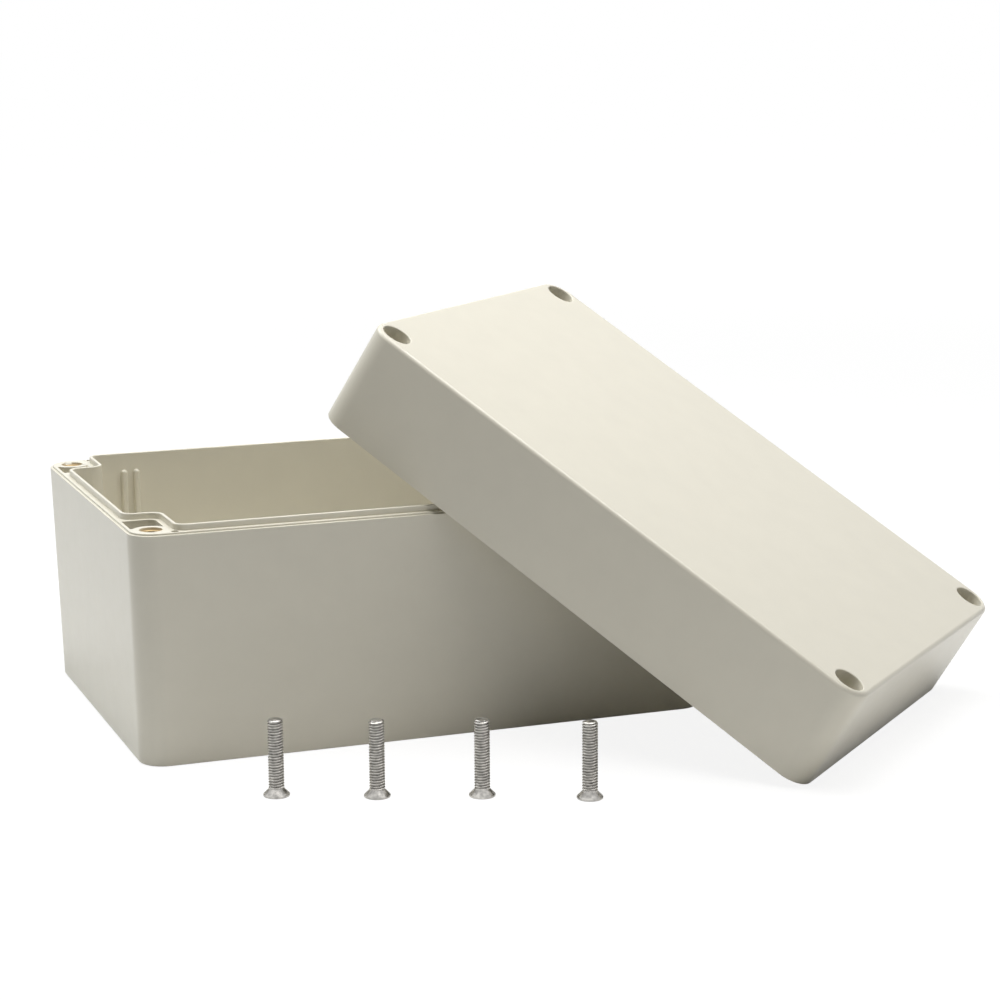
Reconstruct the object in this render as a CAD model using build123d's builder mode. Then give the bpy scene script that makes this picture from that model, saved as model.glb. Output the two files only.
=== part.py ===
from build123d import *
from math import asin, atan2, cos, hypot, radians, sin, tan
import os

os.makedirs("parts", exist_ok=True)

# A sealed plastic project box, open: a deep base, its lid leaning diagonally
# over one corner of the base, and the four lid screws standing on their heads.
# Millimetres, Z up. The origin is the centre of the base's underside,
# X runs along the length and Y across the width.

# Size over the rims, where both shells are widest
length = 160.0
width = 110.0
base_height = 60.5
lid_height = 29.0
corner_radius = 7.0

# Base shell
base_draft = 1.5
wall = 3.0
floor = 3.0
foot_radius = 0.8
floor_radius = 1.2

# Stepped rim of the base: an outer land, a ledge, and a tongue at the inner edge
land_width = 0.7
ledge_height = 0.5
tongue_thickness = 0.9
tongue_height = 2.1
tongue_rounding = 0.3
rim_rounding = 0.2

# Corner cells, outside the seal, measured from the outer faces of the rim
cell_length = 12.4
cell_width = 21.0
cell_wall = 2.3
cell_radius = 4.0
root_radius = 2.5

# Screw posts in the cells, with a pressed brass insert in each
screw_inset = 6.2
post_radius = 4.75
post_web = 8.8
insert_radius = 2.95
insert_bore = 1.65
insert_length = 8.0
insert_sink = 0.55
insert_groove = 0.4
insert_chamfer = 0.35
insert_play = 0.03

# Open pocket beside each post, with a hole for a wall screw in its floor
pocket_wall = 1.5
pocket_radius = 2.0
pocket_step = 4.0
pocket_shelf = 1.7
wall_hole_radius = 2.15
relief_radius = 1.0
relief_depth = 3.0
relief_x = 11.4
relief_y = 2.0

# Card guides: pairs of ribs on the long walls
guide_x = 23.6
guide_slot = 1.8
guide_width = 1.8
guide_depth = 1.3
guide_drop = 2.7
guide_root = 1.0
guide_rounding = 0.75

# Lid shell, with an inner lip that stands inside the tongue
lid_draft = 0.7
lid_top = 2.9
lid_edge_radius = 1.2
lid_inner_radius = 1.0
lip_thickness = 1.25
groove_play = 0.15
groove_depth = 3.5
lid_cell_rib = 1.4

# Screw wells in the lid
well_radius = 3.95
well_wall = 1.6
well_edge = 0.3
seat_height = 5.5
screw_hole_radius = 2.2
head_play = 0.2

# Gasket in the lid's groove
gasket_thickness = 1.6
gasket_play = 0.05

# Lid screws
thread_radius = 1.95
screw_length = 19.5
head_radius = 3.3
head_land = 0.5
head_rounding = 0.25
tip_chamfer = 0.55
tip_clearance = 1.5
recess_reach = 1.9
recess_tip = 0.6
recess_width = 0.95
recess_depth = 1.7

# How the lid leans: turned in plan, its low rim on the floor, its long walls
# resting across the front and the right side of the base's tongue
lid_turn = 47.67
rest_play = 0.15
corner_room = 1.2

# Where the screws stand in front of the base: the first one's place, then each step to the next
first_screw_x = -53.1
first_screw_y = -86.5
second_step_x = 22.8
second_step_y = -9.8
third_step_x = 24.1
third_step_y = -9.0
fourth_step_x = 23.8
fourth_step_y = -11.5

# Sizes that follow
tongue_line = wall - tongue_thickness
lid_wall = wall + groove_play + lip_thickness
head_cone = head_radius - thread_radius
head_height = head_land + head_cone
pocket_reach_x = cell_length - cell_wall
pocket_reach_y = cell_width - cell_wall
post_level = base_height + ledge_height
insert_top = post_level - insert_sink
tip_level = base_height + seat_height - screw_length

# Lean of the lid: its top clears the base's corner by corner_room
turn = radians(lid_turn)
rounding_loss = (corner_radius - land_width) * (sin(turn) + cos(turn) - 1)
step_gain = (tongue_line - land_width) * (sin(turn) + cos(turn))
corner_reach = (width - 2 * lid_wall) * sin(turn) * cos(turn) + step_gain - rounding_loss
corner_drop = tongue_height - ledge_height
corner_depth = lid_height - lid_top - corner_room
lean = asin(corner_depth / hypot(corner_reach, corner_drop)) + atan2(corner_drop, corner_reach)

# The lid's own axes, and the corner of its rim that is low and near
lid_along = Vector(cos(turn) * cos(lean), -sin(turn) * cos(lean), -sin(lean))
lid_across = Vector(sin(turn), cos(turn), 0)
lid_up = lid_along.cross(lid_across)
rest_run = (base_height + tongue_height + rest_play) / tan(lean)
low_x = length / 2 - tongue_line + rest_run * cos(turn) - (width - lid_wall) * sin(turn)
low_y = -width / 2 + tongue_line - rest_run * sin(turn) - lid_wall * cos(turn)
lid_centre = Vector(low_x, low_y, 0) - lid_along * length / 2 + lid_across * width / 2

cavity_top = base_height + tongue_height
base_rim = Plane.XY.offset(base_height)
base_shelf = Plane.XY.offset(post_level)
lid_rim = Plane(origin=lid_centre, x_dir=lid_along, z_dir=lid_up)
lid_axis = Axis(lid_centre, lid_up)


def normal_of(plane):
    return Axis(plane.origin, plane.z_dir)


def drafted_block(plane, outline, height, angle):
    """An outline raised from a plane, with sides that lean in as they rise."""
    with BuildPart() as block:
        extrude(outline, amount=height)
        draft(block.faces().sort_by(normal_of(plane))[1:-1], plane, angle)
    return block.part


def upright_edges(block, plane):
    """The edges between the sides of a block, the nearest to its middle first."""
    middle = block.bounding_box().center()
    return block.edges().group_by(normal_of(plane))[1].sort_by_distance(middle)


def full_outline(plane):
    """The box's plan at the rim, with sharp corners."""
    with BuildSketch(plane) as outline:
        Rectangle(length, width)
    return outline.sketch


def rim_outline(plane, inset):
    """The rim's outer edge moved in by inset."""
    with BuildSketch(plane) as outline:
        RectangleRounded(length - 2 * inset, width - 2 * inset, corner_radius - inset)
    return outline.sketch


def sharp_seal_outline(plane, grow):
    """The tongue's inner edge, which steps in round the corner cells, moved out by grow."""
    notch_x = cell_length - grow
    notch_y = cell_width - grow
    with BuildSketch(plane) as outline:
        Rectangle(length - 2 * (wall - grow), width - 2 * (wall - grow))
        with GridLocations(length - notch_x, width - notch_y, 2, 2):
            Rectangle(notch_x, notch_y, mode=Mode.SUBTRACT)
    return outline.sketch


def seal_outline(plane, grow):
    """The same edge with its corners rounded."""
    with BuildSketch(plane) as outline:
        add(sharp_seal_outline(Plane.XY, grow))
        fillet(outline.vertices().sort_by_distance((0, 0, 0))[4:], root_radius + grow)
        fillet(outline.vertices().sort_by_distance((0, 0, 0))[:4], cell_radius - grow)
    return outline.sketch


def corner_boxes(plane, near_x, far_x, near_y, far_y, post):
    """A box in each corner, between distances from the rim's outer faces, less the post.

    Its corner nearest to the middle of the plan is rounded.
    """
    with BuildSketch(plane) as boxes:
        with GridLocations(length - near_x - far_x, width - near_y - far_y, 2, 2):
            Rectangle(far_x - near_x, far_y - near_y)
        with GridLocations(length - 2 * screw_inset, width - 2 * screw_inset, 2, 2):
            Circle(post, mode=Mode.SUBTRACT)
        fillet(boxes.vertices().sort_by_distance((0, 0, 0))[:4], pocket_radius)
    return boxes.sketch


def corner_circles(plane, inset_x, inset_y, radius):
    """A circle in each corner, with its centre at the insets from the rim's outer faces."""
    with BuildSketch(plane) as circles:
        with GridLocations(length - 2 * inset_x, width - 2 * inset_y, 2, 2):
            Circle(radius)
    return circles.sketch


def card_guides(side):
    """Ribs on one long wall, a pair near each end, that lean with the wall."""
    slope = radians(base_draft)
    face = Plane(
        origin=(0, side * (width / 2 - wall), cavity_top),
        x_dir=(side, 0, 0),
        z_dir=(0, -side * cos(slope), sin(slope)),
    )
    top = -tongue_height - guide_drop
    foot = -(cavity_top - floor) / cos(slope) - guide_width / 2
    half_pitch = (guide_slot + guide_width) / 2
    with BuildPart() as guides:
        with BuildSketch(face.offset(-guide_root)):
            with GridLocations(length - 2 * guide_x, 0, 2, 1):
                with Locations((-half_pitch, (top + foot) / 2), (half_pitch, (top + foot) / 2)):
                    SlotOverall(top - foot, guide_width, rotation=90)
        extrude(amount=guide_root + guide_depth)
        fronts = guides.faces().sort_by(Axis(face.origin, face.z_dir))[-4:]
        fillet(fronts.edges(), guide_rounding)
    return guides.part


# Base cavity: drafted, and stepped in round the corner cells
cavity_down = Plane(origin=(0, 0, cavity_top), x_dir=(1, 0, 0), z_dir=(0, 0, -1))
with BuildPart() as base_cavity:
    sharp_cavity = sharp_seal_outline(cavity_down, 0)
    add(drafted_block(cavity_down, sharp_cavity, cavity_top - floor, base_draft))
    fillet(upright_edges(base_cavity.part, cavity_down)[:4], cell_radius)
    fillet(upright_edges(base_cavity.part, cavity_down)[-8:], root_radius)
    fillet(base_cavity.faces().sort_by(Axis.Z)[0].edges(), floor_radius)

# Base
rim_down = Plane(origin=(0, 0, base_height), x_dir=(1, 0, 0), z_dir=(0, 0, -1))
with BuildPart() as base:
    add(drafted_block(rim_down, full_outline(rim_down), base_height, base_draft))
    fillet(upright_edges(base.part, rim_down), corner_radius)
    fillet(base.faces().sort_by(Axis.Z)[0].edges(), foot_radius)
    fillet(base.faces().sort_by(Axis.Z)[-1].edges(), rim_rounding)
    extrude(rim_outline(base_rim, land_width), amount=ledge_height)
    fillet(base.faces().sort_by(Axis.Z)[-1].edges(), rim_rounding)
    extrude(seal_outline(base_rim, tongue_thickness), amount=tongue_height)
    add(base_cavity.part, mode=Mode.SUBTRACT)
    fillet(base.faces().sort_by(Axis.Z)[-1].edges(), tongue_rounding)

    # Pockets beside the posts: wide at the top, then down to the floor inside a thicker wall
    top_pockets = corner_boxes(
        base_shelf, pocket_wall, pocket_reach_x, post_web, pocket_reach_y, post_radius
    )
    extrude(top_pockets, amount=-pocket_step, mode=Mode.SUBTRACT)
    deep_wall = pocket_wall + pocket_shelf
    deep_pockets = corner_boxes(
        base_shelf, deep_wall, pocket_reach_x, post_web, pocket_reach_y, post_radius
    )
    extrude(deep_pockets, amount=floor - post_level, mode=Mode.SUBTRACT)
    reliefs = corner_circles(base_shelf, relief_x, relief_y, relief_radius)
    extrude(reliefs, amount=-relief_depth, mode=Mode.SUBTRACT)

    # Wall screw holes, in the middle of what each pocket leaves clear
    hole_x = (deep_wall + pocket_reach_x) / 2
    hole_y = (screw_inset + post_radius + pocket_reach_y) / 2
    wall_holes = corner_circles(Plane.XY, hole_x, hole_y, wall_hole_radius)
    extrude(wall_holes, amount=floor, mode=Mode.SUBTRACT)

    # Insert seats, and room below them for the ends of the lid screws
    seats = corner_circles(base_shelf, screw_inset, screw_inset, insert_radius + insert_play)
    extrude(seats, amount=insert_top - insert_length - post_level, mode=Mode.SUBTRACT)
    bores = corner_circles(base_shelf, screw_inset, screw_inset, screw_hole_radius)
    extrude(bores, amount=tip_level - tip_clearance - post_level, mode=Mode.SUBTRACT)

    # Card guides on both long walls
    add(card_guides(-1))
    add(card_guides(1))
base.part.label = "base"
export_step(base.part, "parts/base.step")

# Hollow of the lid, which steps in round its corner blocks
lid_depth = lid_height - lid_top
with BuildPart() as lid_cavity:
    extrude(seal_outline(lid_rim, wall - lid_wall), amount=lid_depth)
    fillet(lid_cavity.faces().sort_by(lid_axis)[-1].edges(), lid_inner_radius)

# Lid
with BuildPart() as lid:
    add(drafted_block(lid_rim, full_outline(lid_rim), lid_height, lid_draft))
    fillet(upright_edges(lid.part, lid_rim), corner_radius)
    fillet(lid.faces().sort_by(lid_axis)[-1].edges(), lid_edge_radius)
    fillet(lid.faces().sort_by(lid_axis)[0].edges(), rim_rounding)
    add(lid_cavity.part, mode=Mode.SUBTRACT)

    # Recess over the base's ledge, and the groove for the tongue and the gasket
    with BuildSketch(lid_rim) as ledge_recess:
        add(rim_outline(Plane.XY, land_width - groove_play))
        add(seal_outline(Plane.XY, -groove_play), mode=Mode.SUBTRACT)
    extrude(ledge_recess.sketch, amount=ledge_height + groove_play, mode=Mode.SUBTRACT)
    with BuildSketch(lid_rim) as groove:
        add(seal_outline(Plane.XY, tongue_thickness + groove_play))
        add(seal_outline(Plane.XY, -groove_play), mode=Mode.SUBTRACT)
    extrude(groove.sketch, amount=groove_depth, mode=Mode.SUBTRACT)

    # Corner blocks: hollow beside the screw tubes, and a countersunk well in each tube
    tube_radius = well_radius + well_wall
    hollow_x = cell_length - tongue_thickness - groove_play - lid_cell_rib
    hollow_y = cell_width - tongue_thickness - groove_play - lid_cell_rib
    hollows = corner_boxes(lid_rim, wall, hollow_x, screw_inset, hollow_y, tube_radius)
    extrude(hollows, amount=lid_depth, mode=Mode.SUBTRACT)
    holes = corner_circles(lid_rim, screw_inset, screw_inset, screw_hole_radius)
    extrude(holes, amount=lid_height, mode=Mode.SUBTRACT)
    wells = corner_circles(lid_rim.offset(seat_height), screw_inset, screw_inset, well_radius)
    extrude(wells, amount=lid_height, mode=Mode.SUBTRACT)
    sink_depth = head_radius + head_play - screw_hole_radius
    with Locations(lid_rim.offset(seat_height - sink_depth)):
        with GridLocations(length - 2 * screw_inset, width - 2 * screw_inset, 2, 2):
            Cone(
                screw_hole_radius,
                head_radius + head_play,
                sink_depth,
                align=(Align.CENTER, Align.CENTER, Align.MIN),
                mode=Mode.SUBTRACT,
            )
    mouths = lid.faces().sort_by(lid_axis)[-1].inner_wires()
    fillet([edge for mouth in mouths for edge in mouth.edges()], well_edge)
lid.part.label = "lid"
export_step(lid.part, "parts/lid.step")

# Gasket at the bottom of the lid's groove
with BuildPart() as lid_gasket:
    with BuildSketch(lid_rim.offset(groove_depth - gasket_thickness)):
        add(seal_outline(Plane.XY, tongue_thickness + groove_play - gasket_play))
        add(seal_outline(Plane.XY, gasket_play - groove_play), mode=Mode.SUBTRACT)
    extrude(amount=gasket_thickness)
lid_gasket.part.label = "lid_gasket"
export_step(lid_gasket.part, "parts/lid_gasket.step")

# Brass inserts: threaded bushes with a groove round the middle, one pressed into each post
post_x = length / 2 - screw_inset
post_y = width / 2 - screw_inset
insert_posts = {
    "insert_front_left": (-post_x, -post_y),
    "insert_front_right": (post_x, -post_y),
    "insert_back_left": (-post_x, post_y),
    "insert_back_right": (post_x, post_y),
}
for insert_name, (x, y) in insert_posts.items():
    with BuildPart() as insert:
        with BuildSketch(Plane(origin=(x, y, insert_top - insert_length), x_dir=(1, 0, 0), z_dir=(0, -1, 0))):
            with BuildLine():
                Polyline(
                    (insert_bore, 0),
                    (insert_radius - insert_chamfer, 0),
                    (insert_radius, insert_chamfer),
                    (insert_radius, insert_length / 3),
                    (insert_radius - insert_groove, insert_length / 3),
                    (insert_radius - insert_groove, insert_length * 2 / 3),
                    (insert_radius, insert_length * 2 / 3),
                    (insert_radius, insert_length),
                    (insert_bore + insert_chamfer, insert_length),
                    (insert_bore, insert_length - insert_chamfer),
                    close=True,
                )
            make_face()
        revolve(axis=Axis((x, y, 0), (0, 0, 1)))
    insert.part.label = insert_name
    export_step(insert.part, f"parts/{insert_name}.step")

# One lid screw, standing on its countersunk head, with a cross recess in the head's face
with BuildPart() as screw:
    with BuildSketch(Plane.XZ):
        with BuildLine():
            Polyline(
                (0, 0),
                (head_radius - head_rounding, 0),
                (head_radius, head_rounding),
                (head_radius, head_land),
                (thread_radius, head_height),
                (thread_radius, screw_length - tip_chamfer),
                (thread_radius - tip_chamfer, screw_length),
                (0, screw_length),
                close=True,
            )
        make_face()
    revolve(axis=Axis.Z)
    for slot_plane in (Plane.XZ, Plane.YZ):
        with BuildSketch(slot_plane):
            with BuildLine():
                Polyline(
                    (-recess_reach, 0),
                    (recess_reach, 0),
                    (recess_tip, recess_depth),
                    (-recess_tip, recess_depth),
                    close=True,
                )
            make_face()
        extrude(amount=recess_width / 2, both=True, mode=Mode.SUBTRACT)

# The four lid screws, in a row in front of the base
screw_spots = [Vector(first_screw_x, first_screw_y)]
for step_x, step_y in (
    (second_step_x, second_step_y),
    (third_step_x, third_step_y),
    (fourth_step_x, fourth_step_y),
):
    screw_spots.append(screw_spots[-1] + Vector(step_x, step_y))
with BuildPart() as lid_screws:
    with Locations(*screw_spots):
        add(screw.part)
lid_screws.part.label = "lid_screws"
export_step(lid_screws.part, "parts/lid_screws.step")
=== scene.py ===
"""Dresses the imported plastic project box: smooth moulded shells, threaded screws and
inserts, and the rubber seal in the lid, on a pale studio floor. Metres, Z up."""

from math import pi, radians

import bmesh
import bpy
import numpy as np
from bpy.props import FloatProperty, FloatVectorProperty, IntProperty, PointerProperty
from mathutils import Matrix, Vector


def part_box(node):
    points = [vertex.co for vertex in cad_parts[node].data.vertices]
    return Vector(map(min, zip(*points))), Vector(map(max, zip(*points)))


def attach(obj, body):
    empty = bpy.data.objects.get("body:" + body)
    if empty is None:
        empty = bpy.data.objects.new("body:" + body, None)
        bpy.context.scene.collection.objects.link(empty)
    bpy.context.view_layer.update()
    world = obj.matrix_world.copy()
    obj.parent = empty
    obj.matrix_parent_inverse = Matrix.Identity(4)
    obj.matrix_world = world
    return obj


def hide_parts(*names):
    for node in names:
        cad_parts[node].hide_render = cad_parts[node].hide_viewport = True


bl_info = {
    "name": "Plastic project box",
    "version": (1, 0, 0),
    "blender": (4, 5, 0),
    "location": "View3D > Sidebar > Project box",
    "description": "Moulded shells, threaded screws, brass inserts and a rubber seal",
    "category": "Object",
}

MM = 0.001
MERGE_DISTANCE = MM / 2000
SEAL_CREASE = radians(60)
SCREW_CREASE = radians(45)
INSERT_CREASE = radians(35)
THREAD_ROWS = 10
PLASTIC_IOR = 1.52
PLAIN = 2.0
FINE = 3.0
SENSOR_WIDTH = 36.0
LAMP_TARGET = (0.03, -0.03, 0.04)
# Each lamp's name, the length of its side, its place and its colour
LAMPS = (
    ("main", 0.5, (0.0, -0.1, 0.75), (1.0, 0.98, 0.945)),
    ("left", 0.5, (-0.3, 0.4, 0.75), (0.965, 0.995, 1.0)),
    ("right", 0.4, (0.3, -0.1, 0.75), (1.0, 1.0, 1.0)),
)
# From the first screw to each screw, in millimetres, and each screw's turn in degrees
SCREW_OFFSETS = ((0, 0, 0), (22.8, -9.8, 0), (46.9, -18.8, 0), (70.7, -30.3, 0))
SCREW_TURNS = (20, 75, 140, 215)
INSERT_NODES = (
    "insert_front_left",
    "insert_front_right",
    "insert_back_left",
    "insert_back_right",
)

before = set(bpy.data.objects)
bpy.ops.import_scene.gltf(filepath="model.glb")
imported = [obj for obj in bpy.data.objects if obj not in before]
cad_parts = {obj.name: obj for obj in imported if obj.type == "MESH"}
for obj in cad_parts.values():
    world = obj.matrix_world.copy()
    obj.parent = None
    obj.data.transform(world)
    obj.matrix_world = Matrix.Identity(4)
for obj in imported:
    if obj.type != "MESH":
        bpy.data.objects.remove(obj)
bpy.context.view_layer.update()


# Sizes and colours


class ShellLook(bpy.types.PropertyGroup):
    """The moulded plastic of the base and the lid."""

    colour: FloatVectorProperty(
        name="Plastic colour",
        description="Warm light grey of the moulded plastic",
        subtype="COLOR",
        size=3,
        min=0.0,
        max=1.0,
        default=(0.785, 0.752, 0.645),
    )
    roughness: FloatProperty(
        name="Roughness",
        description="Gloss of the satin skin, from mirror at 0 to matt at 1",
        subtype="FACTOR",
        min=0.0,
        max=1.0,
        default=0.33,
    )
    grain_size: FloatProperty(
        name="Grain size",
        description="Width of one bump of the fine moulded grain",
        unit="LENGTH",
        default=0.35 * MM,
    )
    grain_height: FloatProperty(
        name="Grain height",
        description="Depth of the fine moulded grain",
        unit="LENGTH",
        default=0.004 * MM,
    )
    crease_angle: FloatProperty(
        name="Crease angle",
        description="Edges sharper than this stay sharp",
        unit="ROTATION",
        default=radians(28),
    )
    flat_angle: FloatProperty(
        name="Flat angle",
        description="Neighbouring faces closer in slope than this are one flat face",
        unit="ROTATION",
        default=radians(0.1),
    )


class LidPlace(bpy.types.PropertyGroup):
    """Where the lid leans, as in the solid model."""

    centre: FloatVectorProperty(
        name="Centre of the rim",
        description="Middle of the lid's rim plane",
        subtype="TRANSLATION",
        unit="LENGTH",
        precision=6,
        default=(62.7458 * MM, -43.2564 * MM, 42.2186 * MM),
    )
    turn: FloatProperty(
        name="Turn",
        description="Turn of the lid's length in plan, towards the front",
        unit="ROTATION",
        default=radians(47.67),
    )
    lean: FloatProperty(
        name="Lean",
        description="Fall of the lid's length towards the floor",
        unit="ROTATION",
        default=radians(31.852),
    )


class SealSizes(bpy.types.PropertyGroup):
    """The rubber seal in the lid's groove."""

    length: FloatProperty(
        name="Rim length", description="Length over the rim", unit="LENGTH", default=160 * MM
    )
    width: FloatProperty(
        name="Rim width", description="Width over the rim", unit="LENGTH", default=110 * MM
    )
    inset: FloatProperty(
        name="Inset",
        description="From the rim's outer face to the middle of the seal",
        unit="LENGTH",
        default=2.55 * MM,
    )
    cell_length: FloatProperty(
        name="Corner step length",
        description="From the rim's end face to the seal beside a corner block",
        unit="LENGTH",
        default=11.95 * MM,
    )
    cell_width: FloatProperty(
        name="Corner step width",
        description="From the rim's side face to the seal beside a corner block",
        unit="LENGTH",
        default=20.55 * MM,
    )
    inner_bend: FloatProperty(
        name="Bend round a corner block",
        description="Radius of the middle of the seal where it turns round a corner block",
        unit="LENGTH",
        default=3.55 * MM,
    )
    outer_bend: FloatProperty(
        name="Bend in a corner",
        description="Radius of the middle of the seal in its other corners",
        unit="LENGTH",
        default=2.95 * MM,
    )
    thickness: FloatProperty(
        name="Thickness",
        description="Height of the seal from the bottom of the groove",
        unit="LENGTH",
        default=1.6 * MM,
    )
    breadth: FloatProperty(
        name="Breadth", description="Width of the seal", unit="LENGTH", default=1.1 * MM
    )
    groove_depth: FloatProperty(
        name="Groove depth",
        description="From the rim plane to the bottom of the groove",
        unit="LENGTH",
        default=3.5 * MM,
    )
    colour: FloatVectorProperty(
        name="Rubber colour",
        description="Dark grey of the rubber",
        subtype="COLOR",
        size=3,
        min=0.0,
        max=1.0,
        default=(0.035, 0.035, 0.036),
    )


class ScrewSizes(bpy.types.PropertyGroup):
    """The countersunk lid screws, standing on their heads."""

    length: FloatProperty(
        name="Length", description="Over the head and the tip", unit="LENGTH", default=19.5 * MM
    )
    thread_radius: FloatProperty(
        name="Thread radius", description="To the crest", unit="LENGTH", default=1.95 * MM
    )
    pitch: FloatProperty(
        name="Pitch", description="From one turn to the next", unit="LENGTH", default=0.7 * MM
    )
    thread_depth: FloatProperty(
        name="Thread depth", description="From crest to root", unit="LENGTH", default=0.4 * MM
    )
    head_radius: FloatProperty(
        name="Head radius", description="Of the head's rim", unit="LENGTH", default=3.3 * MM
    )
    head_land: FloatProperty(
        name="Head rim",
        description="Height of the head's upright rim",
        unit="LENGTH",
        default=0.5 * MM,
    )
    head_rounding: FloatProperty(
        name="Head rounding",
        description="Of the head's face edge",
        unit="LENGTH",
        default=0.25 * MM,
    )
    tip_rounding: FloatProperty(
        name="Tip rounding",
        description="Of the end of the shank",
        unit="LENGTH",
        default=0.55 * MM,
    )
    recess_reach: FloatProperty(
        name="Recess reach",
        description="Half the cross at the face",
        unit="LENGTH",
        default=1.9 * MM,
    )
    recess_tip: FloatProperty(
        name="Recess tip",
        description="Half the cross at its bottom",
        unit="LENGTH",
        default=0.6 * MM,
    )
    recess_width: FloatProperty(
        name="Recess width",
        description="Width of a wing of the cross",
        unit="LENGTH",
        default=0.95 * MM,
    )
    recess_depth: FloatProperty(
        name="Recess depth", description="Depth of the cross", unit="LENGTH", default=1.7 * MM
    )
    colour: FloatVectorProperty(
        name="Plating colour",
        description="Zinc plating",
        subtype="COLOR",
        size=3,
        min=0.0,
        max=1.0,
        default=(0.45, 0.437, 0.415),
    )
    clouds: FloatProperty(
        name="Clouds",
        description="How uneven the plating's colour is",
        subtype="FACTOR",
        min=0.0,
        max=1.0,
        default=0.3,
    )
    # Painted shade: share of the plating colour left in the thread's roots, the recess and the
    # tip's middle
    root_shade: FloatProperty(
        name="Root shade",
        description="Share of the colour left in a thread's root",
        subtype="FACTOR",
        min=0.0,
        max=1.0,
        default=0.72,
    )


class InsertSizes(bpy.types.PropertyGroup):
    """The brass bushes pressed into the base's posts."""

    bore: FloatProperty(
        name="Bore radius", description="To the thread's crest", unit="LENGTH", default=1.65 * MM
    )
    thread_depth: FloatProperty(
        name="Thread depth", description="From crest to root", unit="LENGTH", default=0.35 * MM
    )
    groove: FloatProperty(
        name="Groove",
        description="Depth of the groove round the middle",
        unit="LENGTH",
        default=0.4 * MM,
    )
    chamfer: FloatProperty(
        name="Chamfer",
        description="Of the bore's mouth and the foot",
        unit="LENGTH",
        default=0.35 * MM,
    )
    knurl_depth: FloatProperty(
        name="Knurl depth",
        description="Of the teeth that grip the post",
        unit="LENGTH",
        default=0.2 * MM,
    )
    # Painted shade down the bore: it grows from the mouth and is full at this depth
    dark_from: FloatProperty(
        name="Dark from",
        description="Depth in the bore where it looks darkest",
        unit="LENGTH",
        default=0.35 * MM,
    )
    teeth: IntProperty(name="Knurl teeth", description="Teeth round the bush", default=24, min=8)
    colour: FloatVectorProperty(
        name="Brass colour",
        description="Turned brass",
        subtype="COLOR",
        size=3,
        min=0.0,
        max=1.0,
        default=(0.45, 0.335, 0.18),
    )
    # Painted shade: share of the brass colour left deep in the bore and in its thread's roots
    root_shade: FloatProperty(
        name="Root shade",
        description="Share of the colour left deep in the bore",
        subtype="FACTOR",
        min=0.0,
        max=1.0,
        default=0.08,
    )


class StageLook(bpy.types.PropertyGroup):
    """The floor, the lamps and the camera."""

    floor_size: FloatProperty(
        name="Floor size",
        description="Length of each side of the floor",
        unit="LENGTH",
        default=12.0,
    )
    floor_bounce: FloatProperty(
        name="Floor bounce",
        description="Share of the light that the floor throws back",
        subtype="FACTOR",
        min=0.0,
        max=1.0,
        default=0.88,
    )
    floor_shade: FloatProperty(
        name="Floor shade",
        description="How strongly the floor shows shadows",
        subtype="FACTOR",
        min=0.0,
        max=1.0,
        default=0.18,
    )
    floor_glow: FloatProperty(
        name="Floor white",
        description="White added to the floor near the box as the camera sees it",
        subtype="FACTOR",
        min=0.0,
        max=1.0,
        default=0.88,
    )
    floor_gleam: FloatProperty(
        name="Reflected white",
        description="White added to the floor near the box in reflections",
        subtype="FACTOR",
        min=0.0,
        max=1.0,
        default=0.3,
    )
    white_from: FloatProperty(
        name="White from",
        description="From here out the floor turns white",
        unit="LENGTH",
        default=0.35,
    )
    white_to: FloatProperty(
        name="White to",
        description="Beyond here the floor is white",
        unit="LENGTH",
        default=1.3,
    )
    fill: FloatProperty(
        name="Fill light",
        description="Strength of the even light from all round",
        subtype="FACTOR",
        min=0.0,
        default=0.0,
    )
    main: FloatProperty(
        name="Main lamp",
        description="Soft lamp overhead",
        unit="POWER",
        default=3.4,
    )
    left: FloatProperty(
        name="Left lamp",
        description="Soft lamp behind on the left",
        unit="POWER",
        default=3.8,
    )
    right: FloatProperty(
        name="Right lamp",
        description="Soft lamp on the right",
        unit="POWER",
        default=1.9,
    )
    lens: FloatProperty(name="Lens", description="Focal length", unit="CAMERA", default=95.24)
    camera_place: FloatVectorProperty(
        name="Camera place",
        description="Where the camera stands",
        subtype="TRANSLATION",
        unit="LENGTH",
        default=(-219.86 * MM, -689.58 * MM, 197.93 * MM),
    )
    heading: FloatProperty(
        name="Heading",
        description="Turn of the camera from +Y",
        unit="ROTATION",
        default=radians(-20.527),
    )
    dip: FloatProperty(
        name="Dip",
        description="How far the camera looks down",
        unit="ROTATION",
        default=radians(11.277),
    )
    roll: FloatProperty(
        name="Roll", description="Roll of the camera", unit="ROTATION", default=radians(-0.358)
    )


class ProjectBox(bpy.types.PropertyGroup):
    """All sizes and colours of the dressed box."""

    shell: PointerProperty(name="Shells", description="Moulded plastic", type=ShellLook)
    lid: PointerProperty(name="Lid", description="Where the lid leans", type=LidPlace)
    seal: PointerProperty(name="Seal", description="Rubber seal", type=SealSizes)
    screws: PointerProperty(name="Screws", description="Lid screws", type=ScrewSizes)
    inserts: PointerProperty(name="Inserts", description="Brass inserts", type=InsertSizes)
    stage: PointerProperty(name="Stage", description="Floor, lamps and camera", type=StageLook)


# Meshes


def grid_faces(rows, columns):
    """Quads of a grid of points, each between two neighbouring rows and columns."""
    corner = (np.arange(rows - 1)[:, None] * columns + np.arange(columns - 1)).ravel()
    return np.stack([corner, corner + 1, corner + columns + 1, corner + columns], axis=1)


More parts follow.
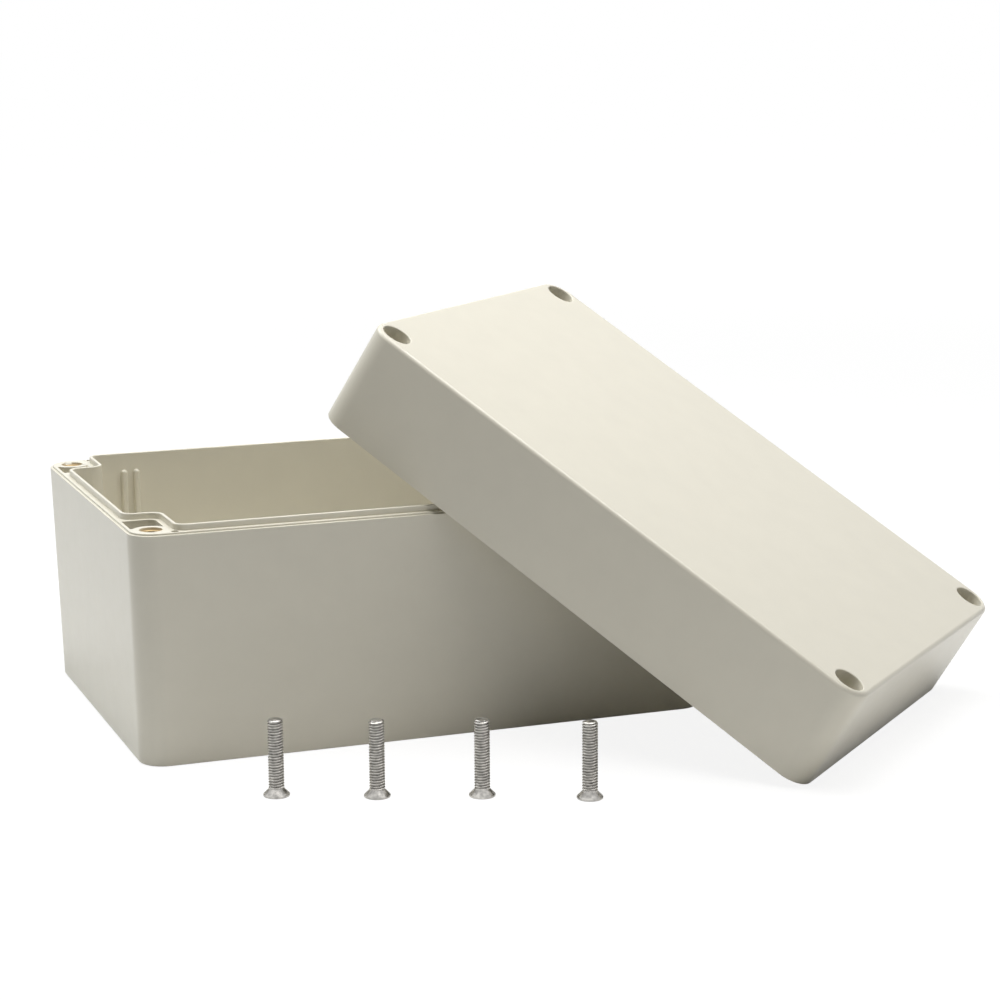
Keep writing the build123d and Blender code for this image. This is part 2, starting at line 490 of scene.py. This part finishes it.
def new_piece(name, grids, material, crease, nodes):
    """A closed piece from grids of points: their quads, with meeting points merged,
    empty faces removed, faces turned outwards and edges sharper than crease kept sharp.

    A point's fourth value is its painted shade, from 0 in the open to 1 in a thread's root, down a
    bore or recess, and at the middle of a screw's tip. It is kept on the mesh as its depth, for the
    material to darken the colour by."""
    points = np.concatenate([grid.reshape(-1, 4) for grid in grids])
    starts = np.cumsum([0] + [grid.shape[0] * grid.shape[1] for grid in grids[:-1]])
    faces = np.concatenate(
        [grid_faces(*grid.shape[:2]) + start for grid, start in zip(grids, starts)]
    )
    mesh = bpy.data.meshes.new(name)
    mesh.from_pydata(points[:, :3], [], faces.tolist())
    # The fourth values are the painted shade, kept on the mesh as its depth
    mesh.attributes.new("depth", "FLOAT", "POINT").data.foreach_set("value", points[:, 3])
    return finish_piece(name, mesh, material, crease, nodes)


def finish_piece(name, mesh, material, crease, nodes, flat_angle=0.0):
    """Merges a mesh's meeting points, turns it outwards, and makes it a piece on the root body that
    stands for the CAD nodes, which it hides.

    Neighbouring faces whose slopes differ by less than the flat angle become one face, so
    that a flat face keeps its own shading up to its rounded edges."""
    shape = bmesh.new()
    shape.from_mesh(mesh)
    bmesh.ops.remove_doubles(shape, verts=shape.verts, dist=MERGE_DISTANCE)
    bmesh.ops.dissolve_degenerate(shape, edges=shape.edges, dist=MERGE_DISTANCE)
    if flat_angle:
        bmesh.ops.dissolve_limit(
            shape, angle_limit=flat_angle, verts=shape.verts, edges=shape.edges
        )
    bmesh.ops.recalc_face_normals(shape, faces=shape.faces)
    shape.to_mesh(mesh)
    shape.free()
    mesh.shade_smooth()
    mesh.set_sharp_from_angle(angle=crease)
    mesh.materials.clear()
    mesh.materials.append(material)
    piece = bpy.data.objects.new(name, mesh)
    bpy.context.scene.collection.objects.link(piece)
    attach(piece, "root")
    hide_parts(*nodes)
    return piece


def finish_node(node, material):
    """Gives a CAD node the material of the piece that stands for it."""
    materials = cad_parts[node].data.materials
    materials.clear()
    materials.append(material)


def turned(angles, radii, heights, depth=0.0):
    """Points of a turned surface: x is the radius times the cosine of the angle, y is the radius
    times its sine, z is the height, and depth is the fourth value, the painted shade that darkens
    the colour. The arrays are spread over each other."""
    angles, radii, heights, depth = np.broadcast_arrays(angles, radii, heights, depth)
    return np.stack([radii * np.cos(angles), radii * np.sin(angles), heights, depth], axis=-1)


def moved(grid, axes, place):
    """A grid's points turned by the axes, one to a row, then shifted to the place."""
    return np.concatenate([grid[..., :3] @ axes + place, grid[..., 3:]], axis=-1)


def thread(angles, bottom, top, pitch, rows_per_turn):
    """Heights of the rows of a helical grid, and how much of the thread stands on each.

    Row j climbs one pitch in a turn: its height is bottom plus (j / rows + angle / full
    turn - 1) pitches, held between bottom and top. The rise is 1 on the crest, which is
    seven hundredths of a pitch wide to each side, and 0 in the root, which is as wide.
    Between them it follows half a cosine wave, so crest and root are rounded."""
    count = int(np.ceil(((top - bottom) / pitch + 1) * rows_per_turn)) + 1
    turns = np.arange(count)[:, None] / rows_per_turn
    heights = bottom + (turns + angles / (2 * pi) - 1) * pitch
    from_crest = np.abs(((turns + 0.5) % 1) - 0.5)
    flank_rate = 2.8
    flank_start = 0.2
    flank = np.clip(from_crest * flank_rate - flank_start, 0, 1)
    rise = 0.5 + 0.5 * np.cos(pi * flank)
    return np.clip(heights, bottom, top), rise


# Materials


def new_material(name):
    """An empty node material: the node tree, its shader and its coordinates."""
    material = bpy.data.materials.new(name)
    material.use_nodes = True
    tree = material.node_tree
    shader = tree.nodes["Principled BSDF"]
    coordinates = tree.nodes.new("ShaderNodeTexCoord")
    return material, tree, shader, coordinates.outputs["Object"]


def noise(tree, place, size, detail=PLAIN):
    """Noise whose features are about size metres wide, plain or with fine detail."""
    node = tree.nodes.new("ShaderNodeTexNoise")
    node.inputs["Scale"].default_value = 1 / size
    node.inputs["Detail"].default_value = detail
    tree.links.new(place, node.inputs["Vector"])
    return node.outputs["Fac"]


def spread(tree, value, low, high):
    """Noise stretched over the range from low to high. Most of it lies from 0.3 to 0.7."""
    node = tree.nodes.new("ShaderNodeMapRange")
    node.inputs["From Min"].default_value = 0.3
    node.inputs["From Max"].default_value = 0.7
    node.inputs["To Min"].default_value = low
    node.inputs["To Max"].default_value = high
    tree.links.new(value, node.inputs["Value"])
    return node.outputs["Result"]


def tinted(tree, value, colour, change):
    """The colour, darker by change where the value is 0 and lighter by it where it is 1."""
    node = tree.nodes.new("ShaderNodeMix")
    node.data_type = "RGBA"
    node.inputs["A"].default_value = (*(c * (1 - change) for c in colour), 1)
    node.inputs["B"].default_value = (*(c * (1 + change) for c in colour), 1)
    tree.links.new(value, node.inputs["Factor"])
    return node.outputs["Result"]


def bump(tree, shader, value, height):
    """Raises the surface by up to height metres where the value is high."""
    node = tree.nodes.new("ShaderNodeBump")
    node.inputs["Strength"].default_value = 1.0
    node.inputs["Distance"].default_value = height
    tree.links.new(value, node.inputs["Height"])
    tree.links.new(node.outputs["Normal"], shader.inputs["Normal"])


def moulded_plastic(look):
    """Satin moulded plastic: fine grain, faint flow shading and an uneven gloss."""
    flow_size = 9 * MM
    flow_change = 0.012
    gloss_size = 2.5 * MM
    gloss_change = 0.03
    material, tree, shader, place = new_material("Moulded plastic")
    shade = noise(tree, place, flow_size, FINE)
    colour = tinted(tree, spread(tree, shade, 0, 1), look.colour, flow_change)
    tree.links.new(colour, shader.inputs["Base Color"])
    gloss = noise(tree, place, gloss_size)
    roughness = spread(tree, gloss, look.roughness - gloss_change, look.roughness + gloss_change)
    tree.links.new(roughness, shader.inputs["Roughness"])
    grain = noise(tree, place, look.grain_size, FINE)
    bump(tree, shader, grain, look.grain_height)
    shader.inputs["IOR"].default_value = PLASTIC_IOR
    return material


def rubber(look):
    """Matt moulded rubber with a fine dusty skin."""
    dust_size = 1.2 * MM
    dust_change = 0.25
    grain_size = 0.15 * MM
    grain_height = 0.01 * MM
    roughness = (0.6, 0.75)
    material, tree, shader, place = new_material("Seal rubber")
    dust = noise(tree, place, dust_size, FINE)
    tree.links.new(tinted(tree, dust, look.colour, dust_change), shader.inputs["Base Color"])
    tree.links.new(spread(tree, dust, *roughness), shader.inputs["Roughness"])
    bump(tree, shader, noise(tree, place, grain_size), grain_height)
    return material


def darkened(tree, colour, share):
    """Painted shade: the colour where the mesh's depth is 0, going down to a share of it where it
    is 1.
    """
    depth = tree.nodes.new("ShaderNodeAttribute")
    depth.attribute_name = "depth"
    node = tree.nodes.new("ShaderNodeMix")
    node.data_type = "RGBA"
    node.blend_type = "MULTIPLY"
    node.inputs["B"].default_value = (share, share, share, 1)
    tree.links.new(depth.outputs["Fac"], node.inputs["Factor"])
    tree.links.new(colour, node.inputs["A"])
    return node.outputs["Result"]


def plated_steel(look):
    """Plated steel, a little cloudy, with painted shade darkening it in the thread's roots, the
    recess and the middle of the tip.
    """
    cloud_size = 1.1 * MM
    grain_size = 0.12 * MM
    grain_height = 0.002 * MM
    roughness = (0.3, 0.44)
    material, tree, shader, place = new_material("Plated steel")
    cloud = spread(tree, noise(tree, place, cloud_size, FINE), 0, 1)
    # Painted shade: the colour darkened in the thread's roots, the recess and the tip's middle
    colour = darkened(tree, tinted(tree, cloud, look.colour, look.clouds), look.root_shade)
    tree.links.new(colour, shader.inputs["Base Color"])
    tree.links.new(spread(tree, cloud, *roughness), shader.inputs["Roughness"])
    bump(tree, shader, noise(tree, place, grain_size), grain_height)
    shader.inputs["Metallic"].default_value = 1.0
    return material


def turned_brass(look):
    """Brass, a little cloudy and finely grained, with painted shade darkening it down in the bore.
    """
    cloud_size = 0.6 * MM
    cloud_change = 0.12
    grain_size = 0.1 * MM
    grain_height = 0.003 * MM
    roughness = (0.42, 0.58)
    material, tree, shader, place = new_material("Turned brass")
    cloud = noise(tree, place, cloud_size, FINE)
    # Painted shade: the colour darkened down the bore and in its thread's roots
    colour = darkened(tree, tinted(tree, cloud, look.colour, cloud_change), look.root_shade)
    tree.links.new(colour, shader.inputs["Base Color"])
    tree.links.new(spread(tree, cloud, *roughness), shader.inputs["Roughness"])
    bump(tree, shader, noise(tree, place, grain_size), grain_height)
    shader.inputs["Metallic"].default_value = 1.0
    return material


# Pieces


class PROJECTBOX_OT_shells(bpy.types.Operator):
    """Smooths copies of the base and the lid and gives them their moulded plastic"""

    bl_idname = "project_box.shells"
    bl_label = "Moulded shells"

    def execute(self, context):
        look = context.scene.project_box.shell
        plastic = moulded_plastic(look)
        for node in ("base", "lid"):
            shell = finish_piece(
                f"{node}_shell",
                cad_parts[node].data.copy(),
                plastic,
                look.crease_angle,
                [node],
                look.flat_angle,
            )
            evened = shell.modifiers.new("Even shading", "WEIGHTED_NORMAL")
            evened.keep_sharp = True
            finish_node(node, plastic)
        return {"FINISHED"}


class PROJECTBOX_OT_seal(bpy.types.Operator):
    """Lays the rubber seal in the lid's groove"""

    bl_idname = "project_box.seal"
    bl_label = "Rubber seal"

    def execute(self, context):
        box = context.scene.project_box
        path, outward = seal_path(box.seal)
        piece = seal_points(box.seal, box.lid, path, outward)
        material = rubber(box.seal)
        new_piece("lid_seal", [piece], material, SEAL_CREASE, ["lid_gasket"])
        finish_node("lid_gasket", material)
        return {"FINISHED"}


def seal_path(size):
    """The seal's line in plan, and its outward direction at each point.

    Each corner of the box gives three quarter bends: into the step, round the corner block
    (which bends the other way), and out of the step. A bend's points are its centre plus
    its radius times the cosine and sine of the angle. The straight runs join the bends."""
    half = np.array([size.length / 2, size.width / 2])
    edge = half - size.inset
    step = half - (size.cell_length, size.cell_width)
    outer, inner = size.outer_bend, size.inner_bend
    centres = np.array(
        [
            (edge[0] - outer, step[1] - outer),
            (step[0] + inner, step[1] + inner),
            (step[0] - outer, edge[1] - outer),
        ]
    )
    radii = np.array([outer, inner, outer])
    starts = np.array([0, 3 * pi / 2, 0])
    sweeps = np.array([pi / 2, -pi / 2, pi / 2])
    points_per_bend = 12
    angles = starts[:, None] + sweeps[:, None] * np.linspace(0, 1, points_per_bend)
    normals = np.stack([np.cos(angles), np.sin(angles)], axis=-1)
    points = centres[:, None] + radii[:, None, None] * normals
    normals = normals * np.sign(sweeps)[:, None, None]
    quarter_points, quarter_normals = points.reshape(-1, 2), normals.reshape(-1, 2)
    signs = np.array([(1, 1), (-1, 1), (-1, -1), (1, -1)])
    orders = (1, -1, 1, -1)
    path = np.concatenate([(quarter_points * s)[::o] for s, o in zip(signs, orders)])
    outward = np.concatenate([(quarter_normals * s)[::o] for s, o in zip(signs, orders)])
    close = np.r_[np.arange(len(path)), 0]
    return path[close], outward[close]


def seal_points(size, place, path, outward):
    """A rounded section carried along the path and put in the lid's groove.

    The section is a rounded square: its offset across is half the breadth times the
    cosine to the power 0.5, and its height is half the thickness times the sine to the
    same power, each with its sign. The lid's own axes turn the result into place."""
    section_points = 21
    power = 0.5
    angles = np.linspace(0, 2 * pi, section_points)
    across = np.sign(np.cos(angles)) * np.abs(np.cos(angles)) ** power * size.breadth / 2
    rise = np.sign(np.sin(angles)) * np.abs(np.sin(angles)) ** power * size.thickness / 2
    plan = path[:, None] + outward[:, None] * across[:, None]
    height = np.broadcast_to(size.groove_depth - size.thickness / 2 + rise, plan.shape[:2])
    local = np.concatenate([plan, height[..., None], np.zeros_like(height)[..., None]], axis=-1)
    turn = place.turn
    lean = place.lean
    along = np.array([np.cos(turn) * np.cos(lean), -np.sin(turn) * np.cos(lean), -np.sin(lean)])
    sideways = np.array([np.sin(turn), np.cos(turn), 0.0])
    axes = np.stack([along, sideways, np.cross(along, sideways)])
    return moved(local, axes, np.array(place.centre))


def screw_points(size):
    """One screw standing on its head, as a grid of points round its axis.

    From the middle of the cross to the tip: the recess's bottom and walls, the head's face,
    rim and cone, the helical thread, which fades out under the head, and the rounded tip.
    The angles of a quarter turn hold those of a wing's two corners, near 14 and 76 degrees."""
    quarter = np.radians([0, 5, 10, 14.04, 20, 26, 32, 38.5, 45, 51.5, 58, 64, 70, 75.96, 80, 85])
    angles = np.concatenate([quarter + turn * pi / 2 for turn in range(4)] + [[2 * pi]])
    nearly_nothing = 1e-9
    cosine = np.maximum(np.abs(np.cos(angles)), nearly_nothing)
    sine = np.maximum(np.abs(np.sin(angles)), nearly_nothing)
    wing = size.recess_width / 2

    def cross(reach):
        """Distance to the edge of a cross: the farther of its two wings' edges."""
        lying = np.minimum(reach / cosine, wing / sine)
        standing = np.minimum(reach / sine, wing / cosine)
        return np.maximum(lying, standing)

    # Rows up the recess's wall, as shares of its depth; each share is also the recess's painted
    # shade there
    depth = np.array([1, 0.66, 0.33, 0.06, 0.0])[:, None]
    reach = size.recess_reach + (size.recess_tip - size.recess_reach) * depth
    recess = turned(angles, cross(reach), size.recess_depth * depth, depth)
    # The middle of the recess's bottom gets full painted shade
    middle = turned(angles, np.zeros((1, 1)), size.recess_depth, 1.0)
    rounding_rows = 5
    soft = np.linspace(0, pi / 2, rounding_rows)[:, None]
    cone = size.head_radius - size.thread_radius
    rim_radii = size.head_radius - size.head_rounding * (1 - np.sin(soft))
    rim = turned(angles, rim_radii, size.head_rounding * (1 - np.cos(soft)))
    bevel = 0.08 * MM
    neck_radii = np.array([size.head_radius, size.head_radius - bevel, size.thread_radius])[:, None]
    neck_heights = size.head_land + np.array([-bevel, bevel, cone])[:, None]
    neck = turned(angles, neck_radii, neck_heights)
    heights, rise = thread(angles, size.head_land + cone, size.length, size.pitch, THREAD_ROWS)
    standing = np.clip((heights - size.head_land - cone) / size.pitch, 0, 1)
    radii = size.thread_radius - size.thread_depth * standing * (1 - rise)
    end = np.clip((heights - size.length) / size.tip_rounding + 1, 0, 1)
    tip_radii = size.thread_radius - size.tip_rounding * (1 - np.sqrt(1 - end**2))
    # Painted shade in the thread's roots, where the thread stands
    shank = turned(angles, np.minimum(radii, tip_radii), heights, standing * (1 - rise))
    # Painted shade at the middle of the tip, darkening its reflection
    tip = turned(angles, np.zeros((1, 1)), size.length, 1.0)
    return np.concatenate([middle, recess, rim, neck, shank, tip])


class PROJECTBOX_OT_screws(bpy.types.Operator):
    """Makes the four threaded lid screws where their solids stand"""

    bl_idname = "project_box.screws"
    bl_label = "Lid screws"

    def execute(self, context):
        size = context.scene.project_box.screws
        one = screw_points(size)
        low, high = (np.array(corner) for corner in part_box("lid_screws"))
        first = np.array([low[0], high[1], 0]) + (size.head_radius, -size.head_radius, 0)
        grids = []
        for place, turn in zip(first + np.array(SCREW_OFFSETS) * MM, np.radians(SCREW_TURNS)):
            cosine = np.cos(turn)
            sine = np.sin(turn)
            spin = np.array([(cosine, sine, 0), (-sine, cosine, 0), (0, 0, 1)])
            grids.append(moved(one, spin, place))
        material = plated_steel(size)
        new_piece(
            "lid_screws_threaded", grids, material, SCREW_CREASE, ["lid_screws"]
        )
        finish_node("lid_screws", material)
        return {"FINISHED"}


def insert_points(size, pitch, radius, height):
    """One bush from its foot, as a closed grid round its axis.

    Outside, two knurled bands stand over a groove: the radius drops by the knurl's depth
    times a triangle wave of the angle. Inside, the bore's radius grows by the thread's
    depth in its roots, and by the chamfer at its mouth."""
    columns_per_tooth = 4
    angles = np.linspace(0, 2 * pi, size.teeth * columns_per_tooth + 1)
    tooth = np.abs((angles * size.teeth / (2 * pi) + 0.5) % 1 - 0.5) * 2
    third = height / 3
    edge = np.array([size.chamfer, 0, 0, size.groove, size.groove, 0, 0])[:, None]
    levels = np.array([0, size.chamfer, third, third, 2 * third, 2 * third, height])[:, None]
    knurled = np.array([0, 1, 1, 0, 0, 1, 0])[:, None]
    outside = turned(angles, radius - edge - knurled * size.knurl_depth * tooth, levels)
    heights, rise = thread(angles, 0.0, height, pitch, THREAD_ROWS)
    standing = np.clip(np.minimum(heights, height - heights) / pitch, 0, 1)
    mouth = np.clip(heights - height + size.chamfer, 0, None)
    bore = np.maximum(size.bore + size.thread_depth * standing * (1 - rise), size.bore + mouth)
    # Painted shade down the bore, full below dark_from, and in the thread's roots
    painted_bore_shade = np.clip((height - heights) / size.dark_from, 0, 1)
    inside = turned(angles, bore, heights, np.maximum(painted_bore_shade, standing * (1 - rise)))[::-1]
    return np.concatenate([outside, inside, outside[:1]])


class PROJECTBOX_OT_inserts(bpy.types.Operator):
    """Makes the four threaded brass bushes in the base's posts"""

    bl_idname = "project_box.inserts"
    bl_label = "Brass inserts"

    def execute(self, context):
        box = context.scene.project_box
        material = turned_brass(box.inserts)
        for node in INSERT_NODES:
            low, high = (np.array(corner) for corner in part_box(node))
            radius, height = (high[0] - low[0]) / 2, high[2] - low[2]
            foot = np.array([(low[0] + high[0]) / 2, (low[1] + high[1]) / 2, low[2]])
            points = insert_points(box.inserts, box.screws.pitch, radius, height)
            points = moved(points, np.eye(3), foot)
            new_piece(f"{node}_bush", [points], material, INSERT_CREASE, [node])
            finish_node(node, material)
        return {"FINISHED"}


# Stage


def combined(tree, operation, first, second):
    """Two values put through a maths operation."""
    node = tree.nodes.new("ShaderNodeMath")
    node.operation = operation
    tree.links.new(first, node.inputs[0])
    tree.links.new(second, node.inputs[1])
    return node.outputs["Value"]


def seen_in_reflections(tree, rays):
    """1 for what a reflection or glass sees."""
    return combined(
        tree, "MAXIMUM", rays.outputs["Is Glossy Ray"], rays.outputs["Is Transmission Ray"]
    )


def seen_white(tree):
    """1 for what the camera, a reflection or glass sees, and 0 for light that falls on things."""
    rays = tree.nodes.new("ShaderNodeLightPath")
    return combined(
        tree, "MAXIMUM", rays.outputs["Is Camera Ray"], seen_in_reflections(tree, rays)
    )


def between(tree, value, low, high):
    """low where the value is 0 and high where it is 1."""
    node = tree.nodes.new("ShaderNodeMapRange")
    node.inputs["To Min"].default_value = low
    node.inputs["To Max"].default_value = high
    tree.links.new(value, node.inputs["Value"])
    return node.outputs["Result"]


def whiter_with_distance(tree, away, look, near):
    """The near value close to the box, rising smoothly to white out of the lamps' light."""
    node = tree.nodes.new("ShaderNodeMapRange")
    node.interpolation_type = "SMOOTHSTEP"
    node.inputs["From Min"].default_value = look.white_from
    node.inputs["From Max"].default_value = look.white_to
    node.inputs["To Min"].default_value = near
    node.inputs["To Max"].default_value = 1.0
    tree.links.new(away, node.inputs["Value"])
    return node.outputs["Result"]


def floor_material(look):
    """A pale floor that throws light back at the box and is seen as white, with a soft
    shadow. Its own white grows with the distance from the middle, out of the lamps' light."""
    material = bpy.data.materials.new("Pale floor")
    material.use_nodes = True
    tree = material.node_tree
    tree.nodes.remove(tree.nodes["Principled BSDF"])
    rays = tree.nodes.new("ShaderNodeLightPath")
    matt = tree.nodes.new("ShaderNodeBsdfDiffuse")
    colour = between(tree, rays.outputs["Is Camera Ray"], look.floor_bounce, look.floor_shade)
    tree.links.new(colour, matt.inputs["Color"])
    place = tree.nodes.new("ShaderNodeTexCoord")
    away = tree.nodes.new("ShaderNodeVectorMath")
    away.operation = "LENGTH"
    tree.links.new(place.outputs["Object"], away.inputs[0])
    parts = []
    for seen, near in (
        (rays.outputs["Is Camera Ray"], look.floor_glow),
        (seen_in_reflections(tree, rays), look.floor_gleam),
    ):
        white = whiter_with_distance(tree, away.outputs["Value"], look, near)
        parts.append(combined(tree, "MULTIPLY", seen, white))
    glow = tree.nodes.new("ShaderNodeEmission")
    tree.links.new(combined(tree, "ADD", *parts), glow.inputs["Strength"])
    both = tree.nodes.new("ShaderNodeAddShader")
    tree.links.new(matt.outputs["BSDF"], both.inputs[0])
    tree.links.new(glow.outputs["Emission"], both.inputs[1])
    tree.links.new(both.outputs["Shader"], tree.nodes["Material Output"].inputs["Surface"])
    return material


def make_floor(look):
    """A square floor in the plane that the box stands on."""
    half = look.floor_size / 2
    corners = [(-half, -half, 0), (half, -half, 0), (half, half, 0), (-half, half, 0)]
    mesh = bpy.data.meshes.new("floor")
    mesh.from_pydata(corners, [], [(0, 1, 2, 3)])
    mesh.materials.append(floor_material(look))
    floor = bpy.data.objects.new("floor", mesh)
    bpy.context.scene.collection.objects.link(floor)


def make_surroundings(look):
    """A world that is seen as white and gives the even fill light."""
    world = bpy.data.worlds.new("Studio")
    world.use_nodes = True
    bpy.context.scene.world = world
    tree = world.node_tree
    sky = tree.nodes["Background"]
    sky.inputs["Color"].default_value = (1, 1, 1, 1)
    tree.links.new(between(tree, seen_white(tree), look.fill, 1.0), sky.inputs["Strength"])


def soft_lamp(name, power, size, place, colour):
    """A square lamp that faces the target."""
    data = bpy.data.lights.new(name, "AREA")
    data.energy = power
    data.size = size
    data.color = colour
    lamp = bpy.data.objects.new(name, data)
    bpy.context.scene.collection.objects.link(lamp)
    facing = (Vector(place) - Vector(LAMP_TARGET)).to_track_quat("Z", "Y")
    lamp.matrix_world = Matrix.Translation(place) @ facing.to_matrix().to_4x4()


def place_camera(look):
    """The camera at the photograph's viewing angle: turned by its heading, tipped down by
    its dip and rolled about its own axis."""
    data = bpy.data.cameras.new("Camera")
    data.lens = look.lens
    data.sensor_width = SENSOR_WIDTH
    camera = bpy.data.objects.new("Camera", data)
    bpy.context.scene.collection.objects.link(camera)
    camera.matrix_world = (
        Matrix.Translation(look.camera_place)
        @ Matrix.Rotation(look.heading, 4, "Z")
        @ Matrix.Rotation(pi / 2 - look.dip, 4, "X")
        @ Matrix.Rotation(look.roll, 4, "Z")
    )
    bpy.context.scene.camera = camera


class PROJECTBOX_OT_stage(bpy.types.Operator):
    """Sets up the floor, the soft studio light and the camera"""

    bl_idname = "project_box.stage"
    bl_label = "Studio stage"

    def execute(self, context):
        look = context.scene.project_box.stage
        make_floor(look)
        make_surroundings(look)
        for lamp, size, place, colour in LAMPS:
            soft_lamp(f"{lamp} lamp", getattr(look, lamp), size, place, colour)
        place_camera(look)
        context.scene.view_settings.view_transform = "Standard"
        return {"FINISHED"}


class PROJECTBOX_PT_parts(bpy.types.Panel):
    """Lists the pieces of the box and the stage"""

    bl_label = "Project box"
    bl_idname = "PROJECTBOX_PT_parts"
    bl_space_type = "VIEW_3D"
    bl_region_type = "UI"
    bl_category = "Project box"

    def draw(self, context):
        for operator in OPERATORS:
            self.layout.operator(operator.bl_idname)
        for group in ProjectBox.__annotations__:
            values = getattr(context.scene.project_box, group)
            column = self.layout.column(align=True)
            column.label(text=group.capitalize())
            for name in values.__annotations__:
                column.prop(values, name)


GROUPS = (ShellLook, LidPlace, SealSizes, ScrewSizes, InsertSizes, StageLook, ProjectBox)
OPERATORS = (
    PROJECTBOX_OT_stage,
    PROJECTBOX_OT_shells,
    PROJECTBOX_OT_seal,
    PROJECTBOX_OT_inserts,
    PROJECTBOX_OT_screws,
)


def register():
    for group in (*GROUPS, *OPERATORS, PROJECTBOX_PT_parts):
        bpy.utils.register_class(group)
    bpy.types.Scene.project_box = PointerProperty(
        name="Project box", description="Sizes and colours of the box", type=ProjectBox
    )


def unregister():
    del bpy.types.Scene.project_box
    for group in reversed((*GROUPS, *OPERATORS, PROJECTBOX_PT_parts)):
        bpy.utils.unregister_class(group)


def main():
    """Registers the classes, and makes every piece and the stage."""
    register()
    bpy.ops.project_box.stage()
    bpy.ops.project_box.shells()
    bpy.ops.project_box.seal()
    bpy.ops.project_box.inserts()
    bpy.ops.project_box.screws()
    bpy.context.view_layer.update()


if __name__ == "__main__":
    main()
